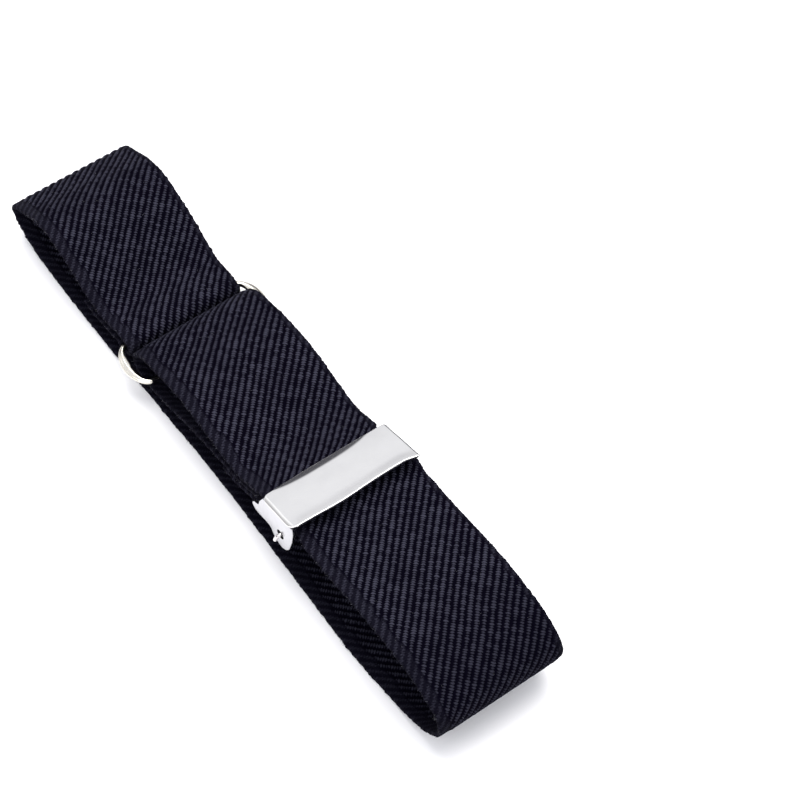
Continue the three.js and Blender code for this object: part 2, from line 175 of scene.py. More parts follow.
def feed(tree, node, inputs):
    """Feeds a node's inputs, given in order or by key: a socket is linked, any other value is set."""
    for key, value in inputs.items() if isinstance(inputs, dict) else enumerate(inputs):
        if isinstance(value, bpy.types.NodeSocket):
            tree.links.new(value, node.inputs[key])
        else:
            node.inputs[key].default_value = value


def add(tree, kind, inputs=(), out=0, **settings):
    """Adds a shader node with its settings and inputs, and gives the output that is asked for."""
    node = tree.nodes.new("ShaderNode" + kind)
    for name, value in settings.items():
        setattr(node, name, value)
    feed(tree, node, inputs)
    return node.outputs[out]


def new_material(name):
    """A new material with its node tree and its surface shader."""
    material = bpy.data.materials.new(name)
    material.use_nodes = True
    tree = material.node_tree
    return material, tree, next(n for n in tree.nodes if n.type == "BSDF_PRINCIPLED")


def finish_piece(name, mesh_source, material, smooth_angle=None):
    """Makes the object of a finished bmesh, in metres, and lets it ride on the holder's body."""
    mesh = bpy.data.meshes.new(name)
    mesh_source.to_mesh(mesh)
    mesh_source.free()
    mesh.transform(Matrix.Scale(MM, 4))
    for face in mesh.polygons:
        face.use_smooth = True
    if smooth_angle is not None:
        mesh.set_sharp_from_angle(angle=math.radians(smooth_angle))
    piece = bpy.data.objects.new(name, mesh)
    bpy.context.scene.collection.objects.link(piece)
    mesh.materials.append(material)
    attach(piece, HOLDER_BODY)
    return piece


def adjuster_matrix():
    """From the adjuster's own u along, v across and w up to the part's frame, in millimetres."""
    place = Matrix.Translation((ADJUSTER_MIDDLE - MIDDLE_OF_LENGTH, ADJUSTER_SHIFT, ADJUSTER_HEIGHT))
    return place @ Matrix.Rotation(-ADJUSTER_TILT, 4, "Y")


def on_adjuster(u, w):
    """Place along the band and height of a point of the adjuster."""
    c, s = math.cos(ADJUSTER_TILT), math.sin(ADJUSTER_TILT)
    return ADJUSTER_MIDDLE + u * c - w * s, ADJUSTER_HEIGHT + u * s + w * c


# ------------------------------------------------------------------ the band's middle line
def round_bar(bar, reach_along, reach_height, turn, half_width, shift):
    """Rows round a bar, between two angles in degrees."""
    start, stop, steps = turn
    rows = []
    for i in range(steps + 1):
        angle = math.radians(start + (stop - start) * i / steps)
        rows.append((bar[0] + reach_along * math.cos(angle), bar[1] + reach_height * math.sin(angle),
                     half_width, shift))
    return rows


def band_rows():
    """All rows of the band's middle line, from the tail to the sewn end."""
    reach = RING_BAR_HALF_WIDTH + LAYER_GAP + HALF_THICKNESS
    rise = RING_HALF_HEIGHT + LAYER_GAP + HALF_THICKNESS
    rows = list(TAIL)
    rows += round_bar((RING_MIDDLE - RING_HALF_CHORD, RING_HEIGHT), reach, rise, (-90, 90, 6), 11.95, 0)
    rows += SHORT_LOOP_TOP + SHORT_LOOP_FOLD + FLOOR_LAYER + LONG_LOOP_FOLD + LONG_LOOP_TOP
    under_web = WEB_TOP - WEB_THICKNESS - LAYER_GAP - HALF_THICKNESS
    for u, drop, half_width, shift in RUN_UNDER_WEB:
        rows.append((*on_adjuster(u, under_web - drop), half_width, shift))
    rows += BETWEEN_RING_AND_ADJUSTER + LOOSE_LOOP_ON_RING + RETURN_LAYER
    grip = REAR_BAR[2] + LAYER_GAP + HALF_THICKNESS
    rear_bar = on_adjuster(*REAR_BAR[:2])
    rows += round_bar(rear_bar, grip, grip, (100, -100, 7), PINCHED_HALF_WIDTH, ADJUSTER_SHIFT)
    rows += SEWN_END
    return rows


def spline_point(points, t):
    """A centripetal Catmull-Rom curve through the points, t from 0 to 1."""
    last = len(points) - 1
    k = min(int(t * last), last - 1)
    w = t * last - k
    p1, p2 = points[k], points[k + 1]
    p0 = points[k - 1] if k > 0 else 2 * points[0] - points[1]
    p3 = points[k + 2] if k + 2 <= last else 2 * points[last] - points[last - 1]
    d0, d1, d2 = ((b - a).length ** 0.5 for a, b in ((p0, p1), (p1, p2), (p2, p3)))
    m1 = ((p1 - p0) / d0 - (p2 - p0) / (d0 + d1) + (p2 - p1) / d1) * d1
    m2 = ((p2 - p1) / d1 - (p3 - p1) / (d1 + d2) + (p3 - p2) / d2) * d1
    return p1 + m1 * w + (3 * (p2 - p1) - 2 * m1 - m2) * w * w + (2 * (p1 - p2) + m1 + m2) * w ** 3


POINTS_PER_ROW = 30  # of the curve between two rows


class BandLine:
    """The band's middle line by arc length: place, outward direction and width at a distance along it."""

    def __init__(self):
        rows = band_rows()
        points = [Vector((along, shift, height)) for along, height, _, shift in rows]
        count = POINTS_PER_ROW * (len(rows) - 1)
        self.places, self.widths = [], []
        for i in range(count + 1):
            t = i / count
            place = spline_point(points, t)
            place.z = max(place.z, FLOOR_HEIGHT)
            k = min(int(t * (len(rows) - 1)), len(rows) - 2)
            part = t * (len(rows) - 1) - k
            self.places.append(place)
            self.widths.append(rows[k][2] + (rows[k + 1][2] - rows[k][2]) * part)
        self.marks = [0.0]
        for a, b in zip(self.places, self.places[1:]):
            self.marks.append(self.marks[-1] + math.hypot(b.x - a.x, b.z - a.z))
        self.length = self.marks[-1]
        self.outs = []
        for i in range(count + 1):
            a, b = self.places[max(i - 1, 0)], self.places[min(i + 1, count)]
            self.outs.append(Vector((b.z - a.z, 0, a.x - b.x)).normalized())

    def at(self, s):
        low, high = 0, len(self.marks) - 1
        s = min(max(s, 0.0), self.length)
        while high - low > 1:
            middle = (low + high) // 2
            if self.marks[middle] <= s:
                low = middle
            else:
                high = middle
        part = (s - self.marks[low]) / max(self.marks[high] - self.marks[low], 1e-9)
        place = self.places[low].lerp(self.places[high], part)
        out = self.outs[low].lerp(self.outs[high], part).normalized()
        return place, out, self.widths[low] + (self.widths[high] - self.widths[low]) * part

    def bend(self, s, t, h):
        """The flat strip's s along, t across and h out of its face, bent into the part's frame."""
        place, out, half_width = self.at(s)
        p = place + out * h
        p.y += t * half_width / BAND_HALF_WIDTH
        p.x -= MIDDLE_OF_LENGTH
        return p

    def distance_at(self, along, height):
        """Arc length of the middle line's point nearest to a place seen from the side."""
        nearest = min(range(len(self.places)),
                      key=lambda i: (self.places[i].x - along) ** 2 + (self.places[i].z - height) ** 2)
        return self.marks[nearest]


band_line = BandLine()


# ------------------------------------------------------------------ materials
# the weave's drawing: noises in features per millimetre, steps and distances in millimetres
WOBBLE_SCALE, FIBRE_SCALE, PATCH_SCALE = 0.9, 6.0, 0.16
RIB_STRAY = 0.12  # how far a rib strays sideways, in rib steps
FLOAT_STRAY = 8.0  # float steps that its floats stray along it, for each rib step of that
SWELL_BY_FLOAT, SWELL_BY_CHANCE = 0.44, 0.3  # how much the floats widen the ribs
RIB_FOOT, RIB_CREST = 0.79, 1.29  # swollen ridge where a rib begins and where it is full
RIB_END_STAGGER = 0.4
RIB_ENDS = (-0.05, 0.3)  # distances inside the plain edge's border where a rib is gone and where it is full
EDGE_BLEND = (0.15, -0.4)  # distances inside that border where the plain edge begins and where it is full
EDGE_WEFT_STEP, EDGE_CORD_STEP = 0.47, 0.68
FOLD_SHADE_SPAN = (3.0, 26.0)  # distances from the long loop's fold over which the painted shade round the fold fades out
FOLD_SHADE_LIGHT, REVERSE_LIGHT = 0.62, 0.6  # painted shade: light left at the long loop's fold, and the light of the reverse of the weave
RIB_BUMP_DEPTH = 0.16

THREAD_TWIST_SCALE = 900.0  # strands 0.35 mm apart
POLISH_SCALE = (9000.0, 260.0, 9000.0)  # polishing lines 0.11 mm apart and 3.8 mm long, as features per metre


def elastic_material(band):
    # woven rubber elastic covered with dull blue-black polyester: a twill of raised ribs, each made of
    # short weft floats lying across it, grooves between them painted near black partly as painted shade, and plain
    # cords along both edges
    material, tree, surface = new_material("polyester_covered_elastic")
    flat = add(tree, "Attribute", out="Vector", attribute_type="GEOMETRY", attribute_name="weave")
    s, t, h = add(tree, "SeparateXYZ", (flat,)).node.outputs
    wobble = add(tree, "TexNoise", {"Vector": flat, "Scale": WOBBLE_SCALE, "Detail": 3.0})
    fibres = add(tree, "TexNoise", {"Vector": flat, "Scale": FIBRE_SCALE, "Detail": 4.0, "Roughness": 0.7})
    patches = add(tree, "TexNoise", {"Vector": flat, "Scale": PATCH_SCALE, "Detail": 2.0})

    # the ribs, counted along the band, and a ridge that rises from 0 to 1 in the middle of each
    stray = add(tree, "Math", (wobble, RIB_STRAY, -RIB_STRAY / 2), operation="MULTIPLY_ADD")
    phase = add(tree, "Math", (t, -band.rib_slant, s), operation="MULTIPLY_ADD")
    phase = add(tree, "Math", (phase, MM / band.rib_step, stray), operation="MULTIPLY_ADD")
    rib_number = add(tree, "Math", (phase,), operation="FLOOR")
    rib_chance = add(tree, "TexWhiteNoise", {"W": rib_number}, noise_dimensions="1D")
    ridge = add(tree, "Math", (phase, 0.5), operation="PINGPONG")
    ridge = add(tree, "Math", (ridge, 2.0), operation="MULTIPLY")

    # short floats across each rib
    turn = 1 / math.hypot(1.0, band.rib_slant)
    along_rib = add(tree, "Math", (t, turn), operation="MULTIPLY")
    along_rib = add(tree, "Math", (s, band.rib_slant * turn, along_rib), operation="MULTIPLY_ADD")
    float_stray = add(tree, "Math", (stray, FLOAT_STRAY, rib_chance), operation="MULTIPLY_ADD")
    float_place = add(tree, "Math", (along_rib, MM / band.float_step, float_stray), operation="MULTIPLY_ADD")
    float_number = add(tree, "Math", (float_place,), operation="FLOOR")
    float_bump = add(tree, "Math", (float_place,), operation="FRACT")
    float_bump = add(tree, "Math", (float_bump, math.pi), operation="MULTIPLY")
    float_bump = add(tree, "Math", (float_bump,), operation="SINE")
    pair = add(tree, "CombineXYZ", (rib_number, float_number))
    float_chance = add(tree, "TexWhiteNoise", {"Vector": pair}, noise_dimensions="2D")

    # the floats' rounded ends make the ribs' sides bumpy
    swollen = add(tree, "Math", (float_bump, SWELL_BY_FLOAT, ridge), operation="MULTIPLY_ADD")
    swollen = add(tree, "Math", (float_chance, SWELL_BY_CHANCE, swollen), operation="MULTIPLY_ADD")
    all_ribs = add(tree, "MapRange", (swollen, RIB_FOOT, RIB_CREST), interpolation_type="SMOOTHSTEP")

    # plain edges: fine weft over cords that run along the band; each rib ends where its own chance puts it
    from_near = add(tree, "Math", (t, BAND_HALF_WIDTH - band.near_selvedge / MM), operation="ADD")
    from_far = add(tree, "Math", (BAND_HALF_WIDTH - band.far_selvedge / MM, t), operation="SUBTRACT")
    inside = add(tree, "Math", (from_near, from_far), operation="MINIMUM")
    inside = add(tree, "Math", (rib_chance, -2 * RIB_END_STAGGER, inside), operation="MULTIPLY_ADD")
    inside = add(tree, "Math", (inside, RIB_END_STAGGER), operation="ADD")
    edge = add(tree, "MapRange", (inside, *EDGE_BLEND), interpolation_type="SMOOTHSTEP")
    shown = add(tree, "MapRange", (inside, *RIB_ENDS), interpolation_type="SMOOTHSTEP")
    rib = add(tree, "Math", (all_ribs, shown), operation="MULTIPLY")
    slip = add(tree, "Math", (wobble, 5.0), operation="MULTIPLY")
    weft = add(tree, "Math", (s, 2 * math.pi / EDGE_WEFT_STEP, slip), operation="MULTIPLY_ADD")
    weft = add(tree, "Math", (weft,), operation="SINE")
    cords = add(tree, "Math", (t, 2 * math.pi / EDGE_CORD_STEP, slip), operation="MULTIPLY_ADD")
    cords = add(tree, "Math", (cords,), operation="SINE")
    cords = add(tree, "Math", (cords, 0.2, 0.2), operation="MULTIPLY_ADD")
    plain = add(tree, "Math", (weft, cords, 0.55), operation="MULTIPLY_ADD", use_clamp=True)

    # light of the thread: from float to float, in the edges, and in loose fibres and broad patches
    float_light = add(tree, "Math", (float_chance, 0.36, 0.07), operation="MULTIPLY_ADD")
    # painted highlight: each float's crest is painted lighter than its ends, on top of the floats' own random tones
    float_light = add(tree, "Math", (float_bump, 0.7, float_light), operation="MULTIPLY_ADD")
    body_light = add(tree, "Math", (rib, float_light), operation="MULTIPLY", use_clamp=True)
    edge_light = add(tree, "Math", (all_ribs, 0.6, 0.08), operation="MULTIPLY_ADD")
    edge_light = add(tree, "Math", (plain, edge_light, 0.05), operation="MULTIPLY_ADD")
    light = add(tree, "Mix", {0: edge, 2: body_light, 3: edge_light}, data_type="FLOAT")
    fibre_light = add(tree, "Math", (fibres, 1.5, 0.22), operation="MULTIPLY_ADD")
    patch_light = add(tree, "Math", (patches, 0.7, 0.65), operation="MULTIPLY_ADD")
    uneven_light = add(tree, "Math", (fibre_light, patch_light), operation="MULTIPLY")
    light = add(tree, "Math", (light, uneven_light), operation="MULTIPLY", use_clamp=True)
    # painted shade round the long loop's fold: the band is darkened there, where its surfaces turn away from the
    # light
    from_fold = add(tree, "Math", (s, band_line.distance_at(*LONG_FOLD)), operation="SUBTRACT")
    from_fold = add(tree, "Math", (from_fold,), operation="ABSOLUTE")
    fold_shade = add(tree, "MapRange", (from_fold, *FOLD_SHADE_SPAN, FOLD_SHADE_LIGHT, 1.0), interpolation_type="SMOOTHSTEP")
    light = add(tree, "Math", (light, fold_shade), operation="MULTIPLY")
    # the reverse of the weave is duller than its face
    face_light = add(tree, "MapRange", (h, -0.3, 0.3, REVERSE_LIGHT, 1.0))
    light = add(tree, "Math", (light, face_light), operation="MULTIPLY")
    # painted shade and light: the mix runs from the near-black groove colour in the grooves to the rib colour on
    # the crests, painted over the thread's own colour
    colour = add(tree, "Mix", {0: light, 6: band.groove_colour_and_shade, 7: band.rib_colour}, out=2, data_type="RGBA")

    float_height = add(tree, "Math", (float_bump, 0.55, 0.45), operation="MULTIPLY_ADD")
    body_height = add(tree, "Math", (rib, float_height), operation="MULTIPLY")
    edge_height = add(tree, "Math", (all_ribs, 0.4, plain), operation="MULTIPLY_ADD")
    height = add(tree, "Mix", {0: edge, 2: body_height, 3: edge_height}, data_type="FLOAT")
    height = add(tree, "Math", (fibres, 0.35, height), operation="MULTIPLY_ADD")
    bump = add(tree, "Bump", {"Height": height, "Strength": 0.8, "Distance": RIB_BUMP_DEPTH * MM})
    feed(tree, surface, {"Base Color": colour, "Roughness": 0.85, "Specular IOR Level": 0.03, "Normal": bump})
    return material


def thread_material():
    # twisted polyester sewing thread, the same blue-black as the band, with a faint lustre
    material, tree, surface = new_material("polyester_sewing_thread")
    place = add(tree, "TexCoord", out="Object")
    wave = {"Vector": place, "Scale": THREAD_TWIST_SCALE, "Distortion": 1.5, "Detail": 1.0}
    strands = add(tree, "TexWave", wave, out="Fac")
    tones = {0: strands, 6: linear("#1b1b26"), 7: linear("#50505e")}
    colour = add(tree, "Mix", tones, out=2, data_type="RGBA")
    bump = add(tree, "Bump", {"Height": strands, "Strength": 0.5, "Distance": 0.05 * MM})
    feed(tree, surface, {"Base Color": colour, "Roughness": 0.6, "Sheen Weight": 0.2, "Normal": bump})
    return material


def plated_material(name, tones, roughness, ripple_mm):
    # bright nickel plate over pressed steel, drawn wire or a zinc casting: a near-white mirror, slightly
    # softened by handling, with polishing lines too faint to see one by one
    material, tree, surface = new_material(name)
    place = add(tree, "TexCoord", out="Object")
    cloud = add(tree, "TexNoise", {"Vector": place, "Scale": 1 / (ripple_mm * MM), "Detail": 3.0})
    lines = add(tree, "Mapping", {"Vector": place, "Scale": POLISH_SCALE})
    scratch = add(tree, "TexNoise", {"Vector": lines, "Scale": 1.0, "Detail": 2.0})
    colour = add(tree, "Mix", {0: cloud, 6: linear(tones[0]), 7: linear(tones[1])}, out=2, data_type="RGBA")
    rough = add(tree, "Math", (cloud, scratch), operation="ADD")
    rough = add(tree, "Math", (rough, roughness / 2, roughness / 2), operation="MULTIPLY_ADD")
    waves = add(tree, "Bump", {"Height": cloud, "Strength": 0.25, "Distance": 0.05 * MM})
    fine = {"Height": scratch, "Strength": 0.12, "Distance": 0.01 * MM, "Normal": waves}
    normal = add(tree, "Bump", fine)
    feed(tree, surface, {"Base Color": colour, "Metallic": 1.0, "Roughness": rough, "Normal": normal})
    return material


# ------------------------------------------------------------------ the elastic band
RIB_LIFT = (0.0, 0.4, 1.0, 1.0, 0.4)  # height of the mesh lines that shape one rib
EDGE_STEPS = 4
EDGE_REACH = 0.8 * HALF_THICKNESS
# the edges ruffle at random: how far, how many times to the millimetre, and where in the noise
RUFFLES = ((0.28, 1.3, 40.0), (0.22, 2.9, 60.0))
# each seam's place seen from the side, and whether it lies on the side that faces up or down
SEAMS = (
    (74.2, 8.1, -1), (76.4, 8.4, -1), (74.2, 9.95, 1), (76.4, 10.15, 1), (29.0, 5.45, -1), (31.2, 5.3, -1),
)
SEAM_MARGIN = 1.5
STITCH_HALF_WIDTH, STITCH_HALF_HEIGHT = 0.17, 0.13
FIBRES_AT_EDGES = 0.7  # share of the loose fibres
FIBRE_LENGTHS, FIBRE_RADII = (0.25, 0.6), (0.022, 0.006)


def section_rows(band):
    """The strip's section, walked once round, as places across the band and out of its face."""
    steps = band.steps_across
    flat_half = BAND_HALF_WIDTH - EDGE_REACH
    rows = []
    for side in (1, -1):
        rows += [(side * flat_half * (2 * k / steps - 1), side * HALF_THICKNESS) for k in range(steps + 1)]
        for k in range(1, EDGE_STEPS):
            angle = math.pi / 2 - math.pi * k / EDGE_STEPS
            across = flat_half + EDGE_REACH * math.cos(angle)
            rows.append((side * across, side * HALF_THICKNESS * math.sin(angle)))
    return rows


def build_band(band):
    """The strip as a flat, ribbed lattice along the slant of its ribs, bent along its middle line."""
    section = section_rows(band)
    rib_step, relief = band.rib_step / MM, band.rib_relief / MM
    near_edge, far_edge = BAND_HALF_WIDTH - band.near_selvedge / MM, BAND_HALF_WIDTH - band.far_selvedge / MM
    step = rib_step / len(RIB_LIFT)
    # a whole number of ribs, so that the mesh's grooves and the material's coincide
    overrun = rib_step * math.ceil((BAND_HALF_WIDTH * band.rib_slant + 2.0) / rib_step)
    lines = int((band_line.length + 2 * overrun) / step)
    bm = bmesh.new()
    bmesh.ops.create_grid(bm, x_segments=lines, y_segments=len(section), size=0.5)
    for vertex in bm.verts:
        line = round((vertex.co.x + 0.5) * lines)
        t, h = section[round((vertex.co.y + 0.5) * len(section)) % len(section)]
        s = line * step - overrun + band.rib_slant * t
        # ribs fade into the plain edges, and their height varies a little along them
        lift = RIB_LIFT[line % len(RIB_LIFT)]
        inside = min(t + near_edge, far_edge - t)
        shown = min(max(inside / 0.5 + 0.5, 0.0), 1.0)
        vary = 0.14 * noise.noise(Vector((s * 0.8, t * 0.8, 3.0 if h > 0 else 9.0)))
        drop = relief * (1 - lift + max(vary, -lift)) * shown
        drop += 0.5 * relief * (1 - shown) * (abs(h) > 0.9 * HALF_THICKNESS)
        vertex.co = (s, t, h - math.copysign(max(drop, 0.0), h) if abs(h) > 0.01 else h)
    bmesh.ops.remove_doubles(bm, verts=bm.verts, dist=0.002)
    for s, keep in ((0.0, 1), (band_line.length, -1)):
        geometry = bm.verts[:] + bm.edges[:] + bm.faces[:]
        bmesh.ops.bisect_plane(bm, geom=geometry, plane_co=(s, 0, 0), plane_no=(keep, 0, 0), clear_inner=True)
    rim = [edge for edge in bm.edges if edge.is_boundary]
    bmesh.ops.holes_fill(bm, edges=rim, sides=0)
    bmesh.ops.recalc_face_normals(bm, faces=bm.faces)
    bm.verts.ensure_lookup_table()
    flat = [vertex.co.copy() for vertex in bm.verts]
    for vertex, (s, t, h) in zip(bm.verts, flat):
        wander = 0.22 * noise.noise(Vector((s * 0.11, t * 0.11, 20.0)))
        ruffle = 0.16 * math.sin(2 * math.pi * (s - band.rib_slant * t) / rib_step)
        ruffle += sum(reach * noise.noise(Vector((s * often, t, place))) for reach, often, place in RUFFLES)
        ruffle *= max(abs(t) - BAND_HALF_WIDTH + 0.7, 0.0)
        vertex.co = band_line.bend(s + wander, t + math.copysign(ruffle, t), h)
    if sum(face.calc_area() for face in bm.faces) <= 0:
        raise RuntimeError("the band came out empty")
    bmesh.ops.recalc_face_normals(bm, faces=bm.faces)
    piece = finish_piece("ribbed_elastic_band", bm, elastic_material(band))
    weave = piece.data.attributes.new("weave", "FLOAT_VECTOR", "POINT")
    weave.data.foreach_set("vector", [c for v in flat for c in v])
    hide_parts("elastic_band")


def build_stitches(band):
    """Rows of thread across the two sewn ends, each stitch a small rounded float."""
    random.seed(11)
    bm = bmesh.new()
    pitch = band.stitch_length / MM
    for along, height, facing in SEAMS:
        s = band_line.distance_at(along, height)
        _, out, _ = band_line.at(s)
        face_height = math.copysign(HALF_THICKNESS - 0.02, out.z * facing)
        for k in range(int(2 * (BAND_HALF_WIDTH - SEAM_MARGIN) / pitch)):
            t = -BAND_HALF_WIDTH + SEAM_MARGIN + (k + 0.5) * pitch
            a = band_line.bend(s, t - 0.42 * pitch, face_height)
            b = band_line.bend(s, t + 0.42 * pitch, face_height)
            turn = (b - a).normalized().to_track_quat("X", "Z").to_matrix().to_4x4()
            size = Matrix.Diagonal(((b - a).length / 2, STITCH_HALF_WIDTH, STITCH_HALF_HEIGHT, 1.0))
            middle = Matrix.Translation((a + b) / 2 + Vector((random.uniform(-0.04, 0.04), 0, 0)))
            bmesh.ops.create_icosphere(bm, subdivisions=1, radius=1.0, matrix=middle @ turn @ size)
    finish_piece("sewn_end_stitches", bm, thread_material())


def build_fibres(band):
    """Loose fibre ends that stand off the band's faces and edges."""
    random.seed(5)
    bm = bmesh.new()
    for _ in range(band.loose_fibres):
        s = random.uniform(1.0, band_line.length - 1.0)
        at_edge = random.random() < FIBRES_AT_EDGES
        if at_edge:
            t, h = random.choice((-1, 1)) * (BAND_HALF_WIDTH - 0.08), random.uniform(-0.4, 0.4)
        else:
            t, h = random.uniform(-11.5, 11.5), HALF_THICKNESS - 0.1
        root = band_line.bend(s, t, h)
        _, out, _ = band_line.at(s)
        lean = Vector((random.uniform(-1, 1), 0, 0))
        lean.y = math.copysign(random.uniform(0.2, 1.0), t) if at_edge else random.uniform(-1, 1)
        lean += out * random.uniform(0.1, 0.7)
        lean.normalize()
        length = random.uniform(*FIBRE_LENGTHS)
        if (root + lean * length).z < 0.02:
            continue
        place = Matrix.Translation(root + lean * length / 2) @ lean.to_track_quat("Z", "X").to_matrix().to_4x4()
        bmesh.ops.create_cone(bm, segments=3, cap_ends=True, radius1=FIBRE_RADII[0], radius2=FIBRE_RADII[1],
                              depth=length, matrix=place)
    finish_piece("loose_fibres", bm, thread_material())


# ------------------------------------------------------------------ the ring
# the ring's section, as shares of the half width and half height: lip, groove and dome on both faces
RING_SECTION = (
    (1.0, 0.0), (0.99, 0.3), (0.93, 0.52), (0.84, 0.64), (0.76, 0.66), (0.69, 0.66), (0.62, 0.7),
    (0.52, 0.8), (0.36, 0.92), (0.1, 1.0), (-0.25, 0.96), (-0.6, 0.78), (-0.88, 0.42),
    (-1.0, 0.0),
    (-0.88, -0.42), (-0.6, -0.78), (-0.25, -0.96), (0.1, -1.0), (0.36, -0.92), (0.52, -0.8),
    (0.62, -0.7), (0.69, -0.66), (0.76, -0.66), (0.84, -0.64), (0.93, -0.52), (0.99, -0.3),
)
RING_SPIN_RADIUS = 10.0
RING_BAR_TURN = math.radians(40)  # part of the turn, to each side, that goes along a straight bar


def build_ring(metal):
    """The section spun into a plain ring, which is then laid along the bars and round the ends."""
    bm = bmesh.new()
    loop = [bm.verts.new((RING_SPIN_RADIUS + across, 0, up)) for across, up in RING_SECTION]
    edges = [bm.edges.new((loop[k], loop[(k + 1) % len(loop)])) for k in range(len(loop))]
    bmesh.ops.spin(bm, geom=loop + edges, cent=(0, 0, 0), axis=(0, 0, 1), dvec=(0, 0, 0),
                   angle=2 * math.pi, steps=metal.ring_steps, use_merge=True)
    bmesh.ops.remove_doubles(bm, verts=bm.verts, dist=1e-4)
    for vertex in bm.verts:
        angle = math.atan2(vertex.co.y, vertex.co.x)
        across = math.hypot(vertex.co.x, vertex.co.y) - RING_SPIN_RADIUS
        c, s = math.cos(angle), math.sin(angle)
        if abs(math.atan2(s, abs(c))) <= RING_BAR_TURN:
            share = math.atan2(s, abs(c)) / RING_BAR_TURN
            place = Vector((math.copysign(RING_HALF_CHORD, c), RING_BAR_END * share, 0))
            out, half_width = Vector((math.copysign(1.0, c), 0, 0)), RING_BAR_HALF_WIDTH
        else:
            side = math.copysign(1.0, s)
            round_part = abs(math.atan2(c, abs(s))) / (math.pi / 2 - RING_BAR_TURN)
            swing = math.pi / 2 * (1 - round_part)
            place = Vector((math.copysign(RING_HALF_CHORD * math.cos(swing), c), 0, 0))
            place.y = side * (RING_BAR_END + RING_END_BULGE * math.sin(swing))
            slope = math.copysign(math.cos(swing) / RING_HALF_CHORD, c)
            out = Vector((slope, side * math.sin(swing) / RING_END_BULGE, 0)).normalized()
            widening = (RING_END_HALF_WIDTH - RING_BAR_HALF_WIDTH) * math.sin(swing) ** RING_END_TAPER
            half_width = RING_BAR_HALF_WIDTH + widening
        p = place + out * (half_width * across)
        vertex.co = (p.x + RING_MIDDLE - MIDDLE_OF_LENGTH, p.y, RING_HEIGHT + vertex.co.z * RING_HALF_HEIGHT)
    bmesh.ops.recalc_face_normals(bm, faces=bm.faces)
    tones = ("#e0ddd4", "#d0cbbf")
    material = plated_material("nickel_plated_zinc_casting", tones, metal.casting_roughness, ripple_mm=2.5)
    piece = finish_piece("oval_ring", bm, material)
    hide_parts("loop_ring")


# ------------------------------------------------------------------ the adjuster
def ease(low, high, value):
    """A soft step from 0 at low to 1 at high."""
    part = min(max((value - low) / (high - low), 0.0), 1.0)
    return part * part * (3 - 2 * part)


def middle_of_edge(v):
    """1 along the middle of the cover's -u edge and 0 towards its ends."""
    return max(1 - abs((v - LIP_MIDDLE) / LIP_HALF_SPAN) ** 3, 0.0)


def cover_rise(u, v):
    """Shape of the cover at u, v: a soft crown, and a lip bent down along the middle of the -u edge."""
    across = min(u / COVER_HALF_DEPTH, 0.3)
    rise = -COVER_CROWN * (0.35 * across * across + 0.25 * (v / COVER_HALF_LENGTH) ** 2)
    return rise - LIP_SLOPE * max(-COVER_HALF_DEPTH + LIP_WIDTH * middle_of_edge(v) - u, 0.0)


def cover_outline(u, v):
    """Moves a point of the plain rectangle to the plate's hand-bent outline: a bowed rim and a flared far end."""
    bowed = RIM_BOW * math.exp(-((v - RIM_BOW_MIDDLE) / RIM_BOW_SPREAD) ** 2)
    bowed += RIM_FLARE * ease(RIM_FLARE_START, COVER_HALF_LENGTH, v) ** 2
    bowed *= ease(1.0, COVER_DEPTH_TO_RIM, u)
    bulged = EDGE_BULGE * middle_of_edge(v) * ease(3.2, COVER_HALF_DEPTH, -u)
    pulled = FAR_END_PULL - 0.048 * (u + COVER_HALF_DEPTH)
    pulled *= ease(FAR_END_PULL_START, COVER_HALF_LENGTH, v)
    return u + bowed - bulged, v - pulled


def round_off(past, radius):
    """Drop of a rounded edge of this radius, at a distance past the start of its curve."""
    return radius - math.sqrt(max(radius * radius - max(past, 0.0) ** 2, 0.0))


def cover_face(u, v):
    """What the top face adds: a flank that climbs to the rolled rim along +u, and rounded edges and ends."""
    rim = COVER_DEPTH_TO_RIM
    past_near = max(-COVER_HALF_LENGTH + NEAR_END_ROUNDING - v, 0.0)
    drop = round_off(u - rim + RIM_RADIUS, RIM_RADIUS) + NEAR_END_CURVE * past_near ** 2
    drop += FAR_END_SLOPE * max(v - COVER_HALF_LENGTH + FAR_END_BEVEL, 0.0)
    drop += CREASE_DEPTH * math.exp(-((v + COVER_HALF_LENGTH - CREASE_PLACE) / CREASE_SPREAD) ** 2)
    flank = FLANK_RISE * ease(rim - FLANK_WIDTH, rim + 0.3, u)
    flank *= 1 - ease(COVER_HALF_LENGTH - 1.6, COVER_HALF_LENGTH - 0.2, -v)
    return flank - min(drop, 0.66)


